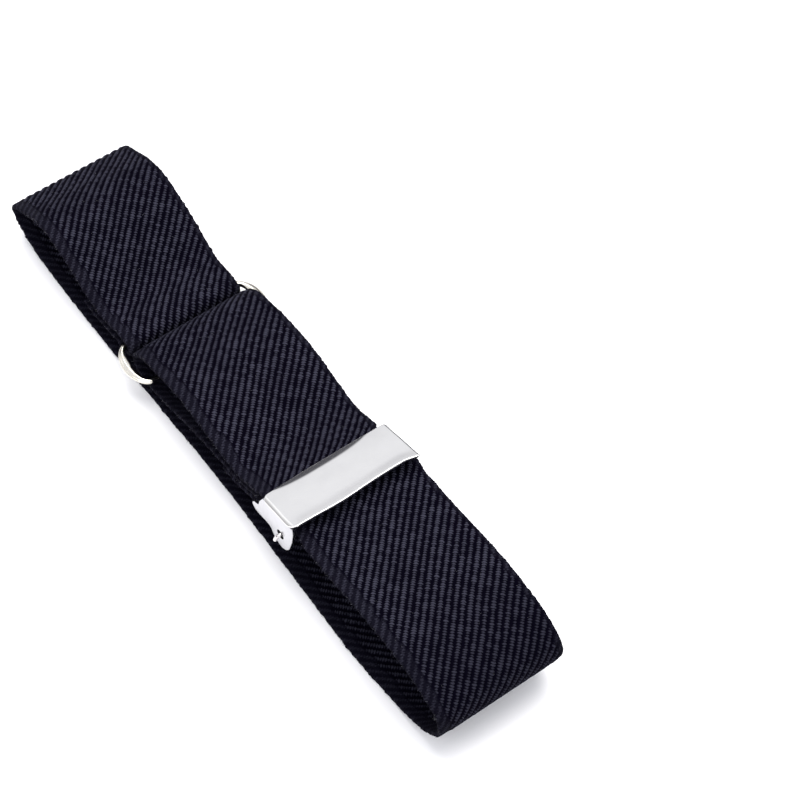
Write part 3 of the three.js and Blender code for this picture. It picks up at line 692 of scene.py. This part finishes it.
def build_cover(metal):
    """A plate with rounded corners and edges, cut finely and then bent to the hand-bent cover's shape."""
    bm = bmesh.new()
    depth = COVER_HALF_DEPTH + COVER_DEPTH_TO_RIM
    size = Matrix.Diagonal((depth, 2 * COVER_HALF_LENGTH, COVER_THICKNESS, 1.0))
    middle = Matrix.Translation((depth / 2 - COVER_HALF_DEPTH, 0, -COVER_THICKNESS / 2))
    bmesh.ops.create_cube(bm, size=1.0, matrix=middle @ size)
    for (side, end), corner in COVER_CORNERS.items():
        upright = [e for e in bm.edges if abs(e.verts[0].co.z - e.verts[1].co.z) > 0.1
                   and e.verts[0].co.y * end > COVER_HALF_LENGTH - 0.01
                   and e.verts[0].co.x * side > COVER_HALF_DEPTH - 0.01]
        bmesh.ops.bevel(bm, geom=upright, offset=corner, offset_type="OFFSET", segments=8, profile=0.5,
                        affect="EDGES", material=-1)
    for face_height, radius in ((0.0, 0.08), (-COVER_THICKNESS, 0.12)):
        edges = [e for e in bm.edges if all(abs(v.co.z - face_height) < 0.01 for v in e.verts)]
        bmesh.ops.bevel(bm, geom=edges, offset=radius, offset_type="OFFSET", segments=2, profile=0.5,
                        affect="EDGES", material=-1)
    # fine cuts along and across give the face the vertices that its crown, lip and rim need
    fine, coarse = 0.06, 0.24
    cuts = [("x", -COVER_HALF_DEPTH + fine * k) for k in range(2, 8)]
    cuts += [("x", -COVER_HALF_DEPTH + 0.45 + coarse * k) for k in range(int((depth - 2.7) / coarse))]
    cuts += [("x", COVER_DEPTH_TO_RIM - fine * k) for k in range(2, 38)]
    cuts += [("y", -COVER_HALF_LENGTH + 0.7 + 0.5 * k) for k in range(48)]
    cuts += [("y", side * (COVER_HALF_LENGTH - fine * k)) for side in (-1, 1) for k in range(2, 12)]
    for axis, where in cuts:
        point = (where, 0, 0) if axis == "x" else (0, where, 0)
        normal = (1, 0, 0) if axis == "x" else (0, 1, 0)
        bmesh.ops.bisect_plane(bm, geom=bm.verts[:] + bm.edges[:] + bm.faces[:], plane_co=point, plane_no=normal)
    for vertex in bm.verts:
        u, v, w = vertex.co
        above = min(max((w + COVER_THICKNESS) / COVER_THICKNESS, 0.0), 1.0)
        vertex.co.x, vertex.co.y = cover_outline(u, v)
        # the rolled rim is thinner than the plate, so its underside is raised
        raised = RIM_THINNING * ease(COVER_DEPTH_TO_RIM - 1.0, COVER_DEPTH_TO_RIM - 0.3, u) * (1 - above)
        vertex.co.z = w + raised + cover_rise(vertex.co.x, v) + cover_face(u, v) * above
    bmesh.ops.remove_doubles(bm, verts=bm.verts, dist=1e-4)
    bmesh.ops.recalc_face_normals(bm, faces=bm.faces)
    bmesh.ops.transform(bm, matrix=adjuster_matrix() @ Matrix.Translation((COVER_OFFSET, 0, 0)), verts=bm.verts)
    tones = ("#e2e1df", "#d6d5d4")
    material = plated_material("nickel_plated_pressed_steel", tones, metal.plate_roughness, ripple_mm=4.0)
    piece = finish_piece("crowned_cover", bm, material, smooth_angle=50)
    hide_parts("adjuster_cover")


def bow(start, control, stop, steps=7):
    """Points of a quadratic curve after its start."""
    a, b, c = Vector(start), Vector(control), Vector(stop)
    return [tuple(a.lerp(b, k / steps).lerp(b.lerp(c, k / steps), k / steps)) for k in range(1, steps + 1)]


def ear_outline(far):
    """An ear seen from the side: finger, lobe and front edge, which stands further back on the far ear."""
    points = [(-3.9, WEB_TOP), (-5.6, WEB_TOP - 0.05), (-7.1, -3.0)]
    points += bow((-7.1, -3.0), (-7.6, -4.5), (-8.2, -4.75))
    points += [(-9.3, -5.05)]
    points += bow((-9.3, -5.05), (-10.3, -5.7), (-9.6, -6.5))
    points += bow((-9.6, -6.5), (-9.2, -7.1), (-8.4, -7.1))
    points += [(-5.2, -7.05)]
    points += bow((-5.2, -7.05), (-4.3, -7.2), (-4.0, -8.3))
    points += bow((-4.0, -8.3), (-3.1, -9.9), (-1.5, -9.95))
    points += bow((-1.5, -9.95), (0.1, -9.8), (1.2, -8.0))
    front = [(1.3, -5.2), (1.2, -2.6), (1.2, WEB_TOP)] if far else [(2.5, -5.2), (3.3, -2.6), (3.4, WEB_TOP)]
    return points + front


def build_ear(side):
    """One ear in the adjuster's own frame: a sheet with its hinge hole, thickened, rounded and flared."""
    ear = bmesh.new()
    rim = [ear.verts.new((u, 0, w)) for u, w in ear_outline(side > 0)]
    turns = (2 * math.pi * k / EAR_HOLE_STEPS for k in range(EAR_HOLE_STEPS))
    hole = [ear.verts.new((HINGE[0] + EAR_HOLE_RADIUS * math.cos(a), 0, HINGE[1] + EAR_HOLE_RADIUS * math.sin(a)))
            for a in turns]
    edges = [ear.edges.new((loop[k], loop[(k + 1) % len(loop)])) for loop in (rim, hole) for k in range(len(loop))]
    bmesh.ops.triangle_fill(ear, use_beauty=True, use_dissolve=True, edges=edges)
    bmesh.ops.dissolve_limit(ear, angle_limit=0.01, verts=ear.verts, edges=ear.edges)
    pulled = bmesh.ops.extrude_face_region(ear, geom=ear.faces[:])
    moved = [g for g in pulled["geom"] if isinstance(g, bmesh.types.BMVert)]
    bmesh.ops.translate(ear, vec=(0, EAR_THICKNESS, 0), verts=moved)
    bmesh.ops.translate(ear, vec=(0, -EAR_THICKNESS / 2, 0), verts=ear.verts)
    bmesh.ops.recalc_face_normals(ear, faces=ear.faces)
    # only the outline's edges are rounded, and the hole's stay sharp
    sharp = [e for e in ear.edges if len(e.link_faces) == 2 and e.calc_face_angle(0) > 1.2
             and abs(e.verts[0].co.y - e.verts[1].co.y) < 1e-5
             and math.hypot(e.verts[0].co.x - HINGE[0], e.verts[0].co.z - HINGE[1]) > EAR_HOLE_RADIUS + 0.05]
    bmesh.ops.bevel(ear, geom=sharp, offset=EAR_EDGE_RADIUS, offset_type="OFFSET", segments=3, profile=0.5,
                    affect="EDGES", material=-1, clamp_overlap=True)
    bmesh.ops.translate(ear, vec=(0, 0, -WEB_TOP), verts=ear.verts)
    flare = Matrix.Rotation(side * EAR_FLARE, 3, "X")
    bmesh.ops.rotate(ear, cent=(0, 0, 0), matrix=flare, verts=ear.verts)
    bmesh.ops.translate(ear, vec=(0, side * (EAR_OUTER_FACE - EAR_THICKNESS / 2), WEB_TOP), verts=ear.verts)
    return ear


def build_frame(metal):
    """The inner plate, the bar between the fingers and the two ears."""
    bm = bmesh.new()
    across = 2 * (EAR_OUTER_FACE - 0.2)
    web_size = Matrix.Diagonal((WEB_FRONT - WEB_BACK, across, WEB_THICKNESS, 1.0))
    web_place = Matrix.Translation(((WEB_FRONT + WEB_BACK) / 2, 0, WEB_TOP - WEB_THICKNESS / 2))
    bmesh.ops.create_cube(bm, size=1.0, matrix=web_place @ web_size)
    u, w, radius = REAR_BAR
    bar_turn = Matrix.Translation((u, 0, w)) @ Matrix.Rotation(math.pi / 2, 4, "X")
    bmesh.ops.create_cone(bm, segments=24, cap_ends=True, radius1=radius, radius2=radius, depth=across,
                          matrix=bar_turn)
    for side in (1, -1):
        ear = build_ear(side)
        part = bpy.data.meshes.new("ear_part")
        ear.to_mesh(part)
        ear.free()
        bm.from_mesh(part)
        bpy.data.meshes.remove(part)
    bmesh.ops.transform(bm, matrix=adjuster_matrix(), verts=bm.verts)
    bmesh.ops.recalc_face_normals(bm, faces=bm.faces)
    # painted shade: the frame's nickel plate is toned darker than the cover's same plate, standing in for the shade
    # on the ears
    tones = ("#bfbfc3", "#b0b0b4")
    material = plated_material("nickel_plated_steel_frame", tones, metal.plate_roughness * 1.2, ripple_mm=3.0)
    piece = finish_piece("eared_frame", bm, material, smooth_angle=40)
    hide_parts("adjuster_frame")


def build_wire(metal):
    """Hinge wire with both ends bent down, made along a curve and turned into a mesh."""
    knee = EAR_OUTER_FACE + 0.6
    du, dw = WIRE_END[0] - HINGE[0], WIRE_END[2] - HINGE[1]
    half = [(0, 4.0, 0), (0, 12.0, 0), (0, knee - 0.35, 0), (0.25 * du, knee + 0.15, 0.18 * dw),
            (0.6 * du, WIRE_END[1] - 0.2, 0.55 * dw), (du, WIRE_END[1], dw)]
    points = [Vector((u, -v, w)) for u, v, w in reversed(half)] + [Vector(p) for p in half]
    curve = bpy.data.curves.new("wire_line", "CURVE")
    curve.dimensions = "3D"
    curve.bevel_depth = WIRE_RADIUS - 0.04  # a little slimmer than the solid wire
    curve.bevel_resolution = 5
    curve.use_fill_caps = True
    steps = 90
    blunt_end = (0.55, 0.82, 0.96)
    line = curve.splines.new("POLY")
    line.points.add(steps)
    for k in range(steps + 1):
        line.points[k].co = (*spline_point(points, k / steps), 1.0)
        from_end = min(k, steps - k)
        line.points[k].radius = blunt_end[from_end] if from_end < len(blunt_end) else 1.0
    holder = bpy.data.objects.new("wire_line", curve)
    bpy.context.scene.collection.objects.link(holder)
    bpy.context.view_layer.update()
    mesh = bpy.data.meshes.new_from_object(holder.evaluated_get(bpy.context.evaluated_depsgraph_get()))
    bpy.data.objects.remove(holder)
    bm = bmesh.new()
    bm.from_mesh(mesh)
    bpy.data.meshes.remove(mesh)
    at_hinge = adjuster_matrix() @ Matrix.Translation((HINGE[0], 0, HINGE[1]))
    bmesh.ops.transform(bm, matrix=at_hinge, verts=bm.verts)
    bmesh.ops.remove_doubles(bm, verts=bm.verts, dist=1e-4)
    bmesh.ops.recalc_face_normals(bm, faces=bm.faces)
    material = plated_material("bright_drawn_wire", ("#d6d2d2", "#c6c2c2"), metal.plate_roughness, ripple_mm=1.5)
    piece = finish_piece("bent_hinge_wire", bm, material, smooth_angle=60)
    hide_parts("hinge_wire")


def dress_lever():
    # pressed steel, tumbled and thinly plated: the same grey mirror, but rough enough to blur
    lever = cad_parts["clamp_lever"]
    lever.data.materials.clear()
    lever.data.materials.append(plated_material("satin_pressed_steel", ("#d6d5d2", "#bdbbb6"), 0.32, ripple_mm=2.0))


# ------------------------------------------------------------------ floor, light and camera
FLOOR_HALF_WIDTH_M = 1.5
HORIZON_HEIGHTS = (0.26, 0.57)  # how high a direction points where the room turns from dark to bright
# each softbox: its place and width in metres, the setting that holds its power, and its colour
SOFTBOXES = {
    "key_softbox": ((-0.08, 0.12, 0.65), 0.5, "key_light", (1.0, 0.975, 0.94)),
    "fill_softbox": ((0.35, -0.35, 0.35), 0.8, "fill_light", (1.0, 1.0, 1.0)),
    "side_softbox": ((-0.45, -0.4, 0.22), 0.4, "side_light", (1.0, 1.0, 1.0)),
}


def build_floor(stage):
    # matt white paper: rough and almost without gloss, so that it shows only soft shadows
    bm = bmesh.new()
    bmesh.ops.create_grid(bm, x_segments=1, y_segments=1, size=FLOOR_HALF_WIDTH_M)
    mesh = bpy.data.meshes.new("studio_floor")
    bm.to_mesh(mesh)
    bm.free()
    floor = bpy.data.objects.new("studio_floor", mesh)
    bpy.context.scene.collection.objects.link(floor)
    material, tree, surface = new_material("matt_white_paper")
    feed(tree, surface, {"Base Color": stage.floor_colour, "Roughness": 0.9, "Specular IOR Level": 0.1})
    mesh.materials.append(material)


def build_room(stage):
    """The light all round: a dim band near the horizon, which the metal mirrors, under a bright room."""
    world = bpy.data.worlds.new("studio_world")
    bpy.context.scene.world = world
    world.use_nodes = True
    sky = world.node_tree
    direction = add(sky, "TexCoord", out="Generated")
    height = add(sky, "SeparateXYZ", (direction,), out="Z")
    up = add(sky, "MapRange", (height, *HORIZON_HEIGHTS), interpolation_type="SMOOTHSTEP")
    tones = {0: up, 6: stage.horizon_colour, 7: stage.room_colour}
    shade = add(sky, "Mix", tones, out=2, data_type="RGBA")
    background = next(n for n in sky.nodes if n.type == "BACKGROUND")
    feed(sky, background, {"Color": shade, "Strength": stage.room_light})


def build_softboxes(stage):
    for name, (place, width, power, colour) in SOFTBOXES.items():
        data = bpy.data.lights.new(name, "AREA")
        data.shape = "SQUARE"
        data.size = width
        data.energy = getattr(stage, power)
        data.color = colour
        lamp = bpy.data.objects.new(name, data)
        bpy.context.scene.collection.objects.link(lamp)
        lamp.location = place
        lamp.rotation_euler = (-lamp.location).to_track_quat("-Z", "Y").to_euler()


def build_camera(stage):
    data = bpy.data.cameras.new("photo_camera")
    data.sensor_width = 36.0
    data.lens = stage.lens
    data.clip_start = 0.01
    camera = bpy.data.objects.new("photo_camera", data)
    bpy.context.scene.collection.objects.link(camera)
    camera.location = stage.camera_place
    aim = Vector(stage.camera_target) - camera.location
    camera.rotation_euler = aim.to_track_quat("-Z", "Y").to_euler()
    bpy.context.scene.camera = camera
    bpy.context.scene.view_settings.view_transform = "Standard"


# ------------------------------------------------------------------ settings
LENGTH = {"unit": "LENGTH", "precision": 5}
COLOUR = {"size": 4, "min": 0.0, "max": 1.0, "subtype": "COLOR"}
SHARE = {"min": 0.0, "max": 1.0, "subtype": "FACTOR"}
POWER = {"min": 0.0, "unit": "POWER"}


class HolderBandSettings(bpy.types.PropertyGroup):
    rib_step: FloatProperty(
        name="Rib step", description="Distance from rib to rib along the band",
        default=1.786 * MM, min=0.5 * MM, **LENGTH)
    rib_slant: FloatProperty(
        name="Rib slant", description="How far a rib runs along the band for each unit across it", default=1.05)
    rib_relief: FloatProperty(
        name="Rib relief", description="Depth of the grooves between ribs",
        default=0.3 * MM, min=0.0, **LENGTH)
    float_step: FloatProperty(
        name="Float step", description="Length along a rib of one short float",
        default=0.46 * MM, min=0.1 * MM, **LENGTH)
    near_selvedge: FloatProperty(
        name="Near edge", description="Width of the plain edge on the near side",
        default=2.05 * MM, min=0.0, **LENGTH)
    far_selvedge: FloatProperty(
        name="Far edge", description="Width of the plain edge on the far side",
        default=0.9 * MM, min=0.0, **LENGTH)
    stitch_length: FloatProperty(
        name="Stitch length", description="Length of one sewing stitch",
        default=1.2 * MM, min=0.3 * MM, **LENGTH)
    steps_across: IntProperty(
        name="Steps across", description="Mesh steps across the band's face", default=36, min=8)
    loose_fibres: IntProperty(
        name="Loose fibres", description="Number of loose fibre ends", default=1100, min=0)
    rib_colour: FloatVectorProperty(
        name="Rib colour", description="Colour of the ribs' crests",
        default=linear("#343440"), **COLOUR)
    # painted shade: the near-black groove colour stands partly for the dark thread between the ribs and partly for
    # the shade in the grooves
    groove_colour_and_shade: FloatVectorProperty(
        name="Groove colour", description="Colour between the ribs",
        default=linear("#010008"), **COLOUR)


class HolderMetalSettings(bpy.types.PropertyGroup):
    casting_roughness: FloatProperty(
        name="Casting roughness", description="Roughness of the cast ring",
        default=0.14, **SHARE)
    plate_roughness: FloatProperty(
        name="Plate roughness", description="Roughness of the pressed plates",
        default=0.16, **SHARE)
    ring_steps: IntProperty(name="Ring steps", description="Mesh steps round the ring", default=144, min=24)


class HolderStageSettings(bpy.types.PropertyGroup):
    floor_colour: FloatVectorProperty(
        name="Floor colour", description="Colour of the floor",
        default=linear("#f6f6f8"), **COLOUR)
    room_colour: FloatVectorProperty(
        name="Room colour", description="Colour of the light all round",
        default=linear("#f9faff"), **COLOUR)
    horizon_colour: FloatVectorProperty(
        name="Horizon colour", description="Colour of the room near the horizon",
        default=linear("#55555b"), **COLOUR)
    room_light: FloatProperty(
        name="Room light", description="Strength of the light all round", default=1.15, min=0.0)
    key_light: FloatProperty(
        name="Key light", description="Power of the key softbox", default=5.0, **POWER)
    fill_light: FloatProperty(
        name="Fill light", description="Power of the fill softbox", default=1.9, **POWER)
    side_light: FloatProperty(
        name="Side light", description="Power of the side softbox", default=0.25, **POWER)
    lens: FloatProperty(
        name="Lens", description="Focal length of the camera", default=103.92, min=1.0, unit="CAMERA")
    camera_place: FloatVectorProperty(
        name="Camera place", description="Where the camera stands",
        default=(0.19549, -0.11262, 0.34819), subtype="TRANSLATION", **LENGTH)
    camera_target: FloatVectorProperty(
        name="Camera target", description="Floor point that the camera aims at",
        default=(0.00619, 0.02408, 0.0), subtype="TRANSLATION", **LENGTH)


# ------------------------------------------------------------------ operators
class HOLDER_OT_band(bpy.types.Operator):
    """Builds the ribbed elastic band in its folded shape"""
    bl_idname = "holder.band"
    bl_label = "Elastic Band"

    def execute(self, context):
        build_band(context.scene.holder_band)
        return {"FINISHED"}


class HOLDER_OT_threads(bpy.types.Operator):
    """Adds the sewn ends' stitches and the loose fibres"""
    bl_idname = "holder.threads"
    bl_label = "Stitches and Fibres"

    def execute(self, context):
        band = context.scene.holder_band
        build_stitches(band)
        build_fibres(band)
        return {"FINISHED"}


class HOLDER_OT_ring(bpy.types.Operator):
    """Builds the cast oval ring"""
    bl_idname = "holder.ring"
    bl_label = "Oval Ring"

    def execute(self, context):
        build_ring(context.scene.holder_metal)
        return {"FINISHED"}


class HOLDER_OT_adjuster(bpy.types.Operator):
    """Builds the adjuster's cover, eared frame and hinge wire, and dresses its lever"""
    bl_idname = "holder.adjuster"
    bl_label = "Clamp Adjuster"

    def execute(self, context):
        metal = context.scene.holder_metal
        build_cover(metal)
        build_frame(metal)
        build_wire(metal)
        dress_lever()
        return {"FINISHED"}


class HOLDER_OT_stage(bpy.types.Operator):
    """Sets up the pale floor, the soft light and the camera"""
    bl_idname = "holder.stage"
    bl_label = "Floor, Light and Camera"

    def execute(self, context):
        stage = context.scene.holder_stage
        build_floor(stage)
        build_room(stage)
        build_softboxes(stage)
        build_camera(stage)
        return {"FINISHED"}


class HOLDER_PT_panel(bpy.types.Panel):
    bl_label = "Sleeve Holder"
    bl_idname = "HOLDER_PT_panel"
    bl_space_type = "VIEW_3D"
    bl_region_type = "UI"
    bl_category = "Holder"

    def draw(self, context):
        for group in (context.scene.holder_band, context.scene.holder_metal, context.scene.holder_stage):
            column = self.layout.column()
            for name in group.__annotations__:
                column.prop(group, name)
        for step in BUILD_STEPS:
            self.layout.operator(step.bl_idname)


BUILD_STEPS = (HOLDER_OT_stage, HOLDER_OT_band, HOLDER_OT_threads, HOLDER_OT_ring, HOLDER_OT_adjuster)
CLASSES = (HolderBandSettings, HolderMetalSettings, HolderStageSettings, *BUILD_STEPS, HOLDER_PT_panel)


def register():
    for cls in CLASSES:
        bpy.utils.register_class(cls)
    bpy.types.Scene.holder_band = PointerProperty(type=HolderBandSettings)
    bpy.types.Scene.holder_metal = PointerProperty(type=HolderMetalSettings)
    bpy.types.Scene.holder_stage = PointerProperty(type=HolderStageSettings)


def unregister():
    del bpy.types.Scene.holder_band
    del bpy.types.Scene.holder_metal
    del bpy.types.Scene.holder_stage
    for cls in reversed(CLASSES):
        bpy.utils.unregister_class(cls)


def main():
    register()
    bpy.ops.holder.stage()
    bpy.ops.holder.band()
    bpy.ops.holder.threads()
    bpy.ops.holder.ring()
    bpy.ops.holder.adjuster()


if __name__ == "__main__":
    main()
